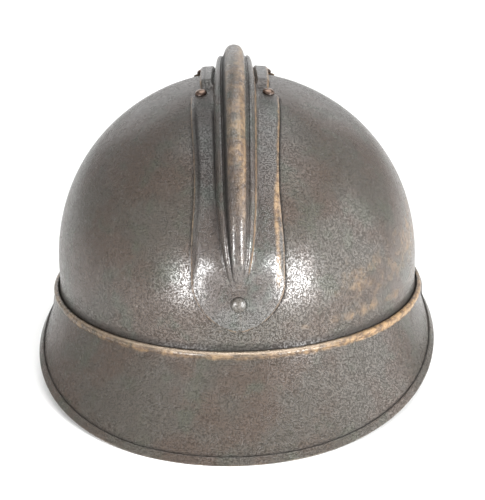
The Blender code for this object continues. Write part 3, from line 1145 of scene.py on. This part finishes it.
        table = np.array(self.section)
        swollen = self.lobe_lift * bump_at(from_tip, *self.lobe_middle)
        swollen = swollen * smoothstep(from_tip, self.ridge_start, self.ridge_start + self.lobe_run)
        across = [step[:, None] * table[None, :, 0], toe[:, None]]
        ups = [height[:, None] * table[None, :, 1] + swollen[:, None] * (1 - table[None, :, 1])]
        ups.append((lift + swollen)[:, None])
        bulged = smoothstep(from_tip, self.nose_start, self.nose_start + self.bulge_run)
        for share, rise in self.flange_section:
            across.append((toe + (edge - toe) * share)[:, None])
            bulge = self.flange_bulge * np.where(rise > 0, rise * bulged, rise)
            ups.append((lift + bulge + swollen * (1 - share**self.lobe_power))[:, None])
        across, ups = np.hstack(across), np.hstack(ups)
        across = np.hstack([-across[:, :0:-1], across])
        ups = np.hstack([ups[:, :0:-1], ups])
        weights = curve_weights(across.shape[1], self.curve_steps)
        across, ups = across @ weights.T, ups @ weights.T
        degrees = np.broadcast_to(degrees[:, None], across.shape)
        point, normal = self.brim.bowl.over(across, degrees)
        ripple = self.brim.bowl.ripple(point[..., 0], point[..., 1], point[..., 2])
        return point + normal * (CREST_GAP + SHEET + ups + ripple)[..., None], across, degrees

    def dress(self, material: bpy.types.Material, plugs: list[bpy.types.Object]) -> bpy.types.Object:
        """Finish the crest: its outside, the sheet's wall behind it, and the rivet holes.

        Args:
            material: its finish.
            plugs: the rivets' plugs.

        Returns:
            The finished crest.
        """
        points, across, degrees = self.grid()
        obj = mesh_object(self.piece_name, self.brim.stand(points), self.fields(across, degrees))
        give_wall(obj, even=False)
        drill(obj, plugs)
        return self.claim(settle(obj), material)

    def fields(self, across: Array, degrees: Array) -> dict[str, Array]:
        """Wear, rust and painted shade over the crest.

        The ridge's top, the steps' edges and a band along the flange are rusted tan, most on the wearer's
        right. The steps' tops and the flange's edges are rubbed. Painted shade lies in the valleys, inside
        the flange's edge and over the upper flange, most on the wearer's left.

        Args:
            across: distance across, positive to the wearer's left.
            degrees: degrees over the dome.

        Returns:
            Each field's numbers.
        """
        inset = self.half_width(degrees) - np.abs(across)
        share = np.abs(across) / self.step(degrees)
        raised = smoothstep(self.height(degrees), *self.raised)
        right = smoothstep(-across, *self.right)
        upper = smoothstep(degrees, *self.upper)
        on_ridge = 1 - smoothstep(share, *self.ridge_foot)
        below_hood = 1 - smoothstep(degrees, *self.hood_side)
        brink = bump_at(inset, *self.brink)
        band_place = smoothstep(degrees, *self.band_start) * (1 - 0.7 * smoothstep(degrees, *self.band_end))
        side_band = bump_at(inset, 0.0012 + 0.0020 * (1 - upper), 0.0016) * right * band_place
        step_edge = bump_at(share, *self.step_edge) * raised
        rust = 0.75 * on_ridge * (0.7 + 0.3 * right) * (0.6 + 0.4 * upper)
        rust = rust + 0.9 * step_edge * right + 0.85 * side_band + 0.65 * brink
        crown = bump_at(share, *self.step_crown) * raised
        wear = 0.3 * on_ridge * raised * upper + 0.35 * crown + 0.3 * brink
        # Painted shade in the valleys beside the ridge and at the steps' feet, inside the flange's edge, and
        # over the upper flange on the wearer's left, where the ridge hides the light
        valley = bump_at(share, 0.60 - 0.09 * (1 - right), 0.06 + 0.08 * (1 - right))
        valley = valley + 0.6 * bump_at(share, 1.08, 0.06) * below_hood
        painted_shade = 0.75 * valley * raised * (1 - 0.6 * right)
        painted_shade = painted_shade + 0.38 * bump_at(inset, *self.inner_edge_shade) * (1 - right)
        painted_shade = painted_shade + 0.35 * (1 - right) * upper * below_hood * smoothstep(share, 0.9, 1.1)
        return {"wear": wear, "rust": rust, "painted_shade": painted_shade}


@dataclass
class Rivet(Piece):
    """A rivet with a low domed head on the crest and a flat tail under the skull."""

    slot: str = RIVET_SLOT
    brim: Brim = None
    across: float = 0.0
    degrees: float = 0.0
    head_radius: float = 0.0032
    head_height: float = 0.0021
    rubbed: float = 0.85
    shank_radius: float = 0.0015
    tail_radius: float = 0.0026
    tail_height: float = 0.0008
    tail_gap: float = 0.0008
    plug_length: float = 0.012
    round_steps: int = 40
    head_rings: int = 11

    def turned(self, name: str, profile: Array, fields: dict[str, Array], ends: bool) -> bpy.types.Object:
        """Turn a profile of radius and height, listed downwards, and stand it on the crest's flange.

        Args:
            name: the object's name.
            profile: rows of radius and height over the flange.
            fields: a number for each row of the profile.
            ends: whether the first and last rings are closed with a flat face each.

        Returns:
            The object: points radius cos, radius sin and height, turned upright to the dome.
        """
        angle = -np.arange(self.round_steps)[None, :] * 2 * np.pi / self.round_steps
        radius, height = profile[:, :1], profile[:, 1:]
        local = np.stack([radius * np.cos(angle), radius * np.sin(angle), height + 0 * angle], axis=-1)
        point, normal = self.brim.bowl.over(np.array(self.across), np.array(self.degrees))
        turn = np.array(Vector(normal).to_track_quat("Z", "Y").to_matrix())
        base = point + normal * (CREST_GAP + SHEET)
        return mesh_object(name, self.brim.stand(local @ turn.T + base), fields, closed=True, ends=ends)

    def plug(self) -> bpy.types.Object:
        """A closed plug that drills crest and skull for the shank."""
        radius, half = self.shank_radius + GAP, self.plug_length / 2
        return self.turned(f"{self.node}_plug", np.array([[radius, half], [radius, -half]]), {}, True)

    def dress(self, material: bpy.types.Material) -> bpy.types.Object:
        """Finish the rivet: a domed head on the crest, the shank, and the tail under the skull.

        Args:
            material: its finish.

        Returns:
            The finished rivet.
        """
        grip = GAP + CREST_GAP + SHEET + SHEET + self.tail_gap
        turn = np.linspace(0, np.pi / 2, self.head_rings)
        head = np.stack([self.head_radius * np.sin(turn), self.head_height * np.cos(turn)], axis=1)
        rest = np.array(
            [
                [self.shank_radius, 0],
                [self.shank_radius, -grip],
                [self.tail_radius, -grip],
                [self.tail_radius, -grip - self.tail_height],
                [0, -grip - self.tail_height],
            ]
        )
        profile = np.vstack([head, rest]) + (0, GAP)
        height = profile[:, 1:]
        # Painted shade round the foot of the head
        fields = {
            "wear": self.rubbed * smoothstep(height, 0.3 * self.head_height, self.head_height),
            "rust": 0.3 + 0 * height,
            "painted_shade": 0.7 * bump_at(height, GAP, 0.0006),
        }
        obj = self.turned(self.piece_name, profile, fields, False)
        merge_doubles(obj)
        return self.claim(settle(obj), material)


# Room, light and camera


@dataclass(frozen=True)
class SoftLight:
    """An area light, aimed at a point."""

    name: str
    place: tuple[float, float, float]
    aim: tuple[float, float, float]
    size: tuple[float, float]
    watts: float
    colour: str = "#FFFFFF"

    def build(self) -> bpy.types.Object:
        """Make the light, unseen by the camera itself.

        Returns:
            The light.
        """
        data = bpy.data.lights.new(self.name, "AREA")
        data.shape = "RECTANGLE"
        data.size, data.size_y = self.size
        data.energy = self.watts
        data.color = linear(self.colour)[:3]
        made = bpy.data.objects.new(self.name, data)
        made.location = self.place
        towards = Vector(self.aim) - Vector(self.place)
        made.rotation_euler = towards.to_track_quat("-Z", "Y").to_euler()
        made.visible_camera = False
        bpy.context.scene.collection.objects.link(made)
        return made


@dataclass(frozen=True)
class Studio:
    """Plain paper floor, soft lights, a white room and the camera at the photograph's angle."""

    floor_half: float = 4.0
    room: float = 0.3
    target: tuple[float, float, float] = (-0.00304, -0.0028, 0.04743)
    distance: float = 0.7326
    elevation: float = 24.31
    azimuth: float = 0.45
    roll: float = -0.8
    focal_px: float = 1307.0
    clip: Span = (0.01, 50.0)
    lights: tuple[SoftLight, ...] = (
        SoftLight("overhead", (-0.2, -0.1, 1.6), (0, 0, 0.05), (1.8, 1.8), 26.0),
        SoftLight("back_wall", (0.0, -1.6, 0.75), (0, 0, 0.1), (2.4, 1.2), 12.0),
        SoftLight("low_left", (0.46, 0.755, 0.18), (0, 0.05, 0.07), (0.26, 0.34), 10.5),
        SoftLight("low_right", (-0.51, 0.71, 0.17), (0, 0.05, 0.07), (0.30, 0.38), 17.5),
        SoftLight("right_side", (-1.04, 0.2, 0.33), (0, 0, 0.08), (0.9, 0.7), 6.8),
    )

    def build(self) -> None:
        """Make floor, room, lights and camera."""
        span = self.floor_half
        grid = np.array([[[-span, span, 0], [span, span, 0]], [[-span, -span, 0], [span, -span, 0]]], float)
        floor = mesh_object("floor", grid, {})
        floor.data.materials.append(FloorPaper().material())
        world = bpy.data.worlds.new("white_room")
        world.use_nodes = True
        background = world.node_tree.nodes["Background"]
        background.inputs["Color"].default_value = (1, 1, 1, 1)
        background.inputs["Strength"].default_value = self.room
        bpy.context.scene.world = world
        bpy.context.scene.view_settings.view_transform = "Standard"
        for light in self.lights:
            light.build()
        self.camera()

    def camera(self) -> None:
        """Aim the camera: back from the target along its azimuth and elevation, rolled about its axis."""
        azimuth, elevation = math.radians(self.azimuth), math.radians(self.elevation)
        flat = math.cos(elevation)
        back = Vector((math.sin(azimuth) * flat, math.cos(azimuth) * flat, math.sin(elevation)))
        data = bpy.data.cameras.new("camera")
        data.sensor_fit = "AUTO"
        data.sensor_width = SENSOR_MM
        data.lens = self.focal_px / PHOTO_LONG_SIDE * SENSOR_MM
        data.clip_start, data.clip_end = self.clip
        made = bpy.data.objects.new("camera", data)
        right = (-back).cross(Vector((0, 0, 1))).normalized()
        upward = right.cross(-back)
        roll = math.radians(self.roll)
        x_axis = right * math.cos(roll) + upward * math.sin(roll)
        y_axis = upward * math.cos(roll) - right * math.sin(roll)
        turned = Matrix((x_axis, y_axis, back)).transposed().to_4x4()
        made.matrix_world = Matrix.Translation(Vector(self.target) + back * self.distance) @ turned
        bpy.context.scene.collection.objects.link(made)
        bpy.context.scene.camera = made


def rivets(crest: CrestPressing) -> list[Rivet]:
    """The six rivets: one at each tip of the crest and two at each end of the hood.

    Args:
        crest: the crest that they hold.

    Returns:
        The rivets, those at the tips first.
    """
    made = []
    for place, degrees in (
        ("rear", crest.rear_tip + crest.rivet_from_tip),
        ("front", crest.front_tip - crest.rivet_from_tip),
    ):
        made.append(Rivet(f"rivet_{place}", brim=crest.brim, degrees=degrees, head_radius=0.0038, rubbed=0.3))
    for place, degrees in (("rear", 90 - crest.rivet_from_top), ("front", 90 + crest.rivet_from_top)):
        for hand, across in (("left", crest.rivet_across), ("right", -crest.rivet_across)):
            name = f"rivet_top_{place}_{hand}"
            made.append(Rivet(name, brim=crest.brim, across=across, degrees=degrees))
    return made


def main() -> None:
    """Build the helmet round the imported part, dress it, and light it."""
    logging.basicConfig(level=logging.INFO, format="%(message)s")
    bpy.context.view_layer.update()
    brim = Brim(Bowl())
    paint, crest_paint, rivet_paint, browned = (
        finish.material() for finish in (HELMET_PAINT, CREST_PAINT, RIVET_PAINT, BROWNED_STEEL)
    )
    crest = CrestPressing("crest", brim=brim)
    studs = rivets(crest)
    plugs = [stud.plug() for stud in studs]
    SkullShell("skull", brim=brim, crest=crest).dress(paint, plugs)
    BrimHalf("neck_guard", brim=brim, side=BrimSide.NECK_GUARD).dress(paint)
    BrimHalf("visor", brim=brim, side=BrimSide.VISOR).dress(paint)
    crest.dress(crest_paint, plugs)
    for plug in plugs:
        bpy.data.objects.remove(plug)
    for stud in studs:
        stud.dress(browned if stud.across else rivet_paint)
    Studio().build()


if __name__ == "__main__":
    main()
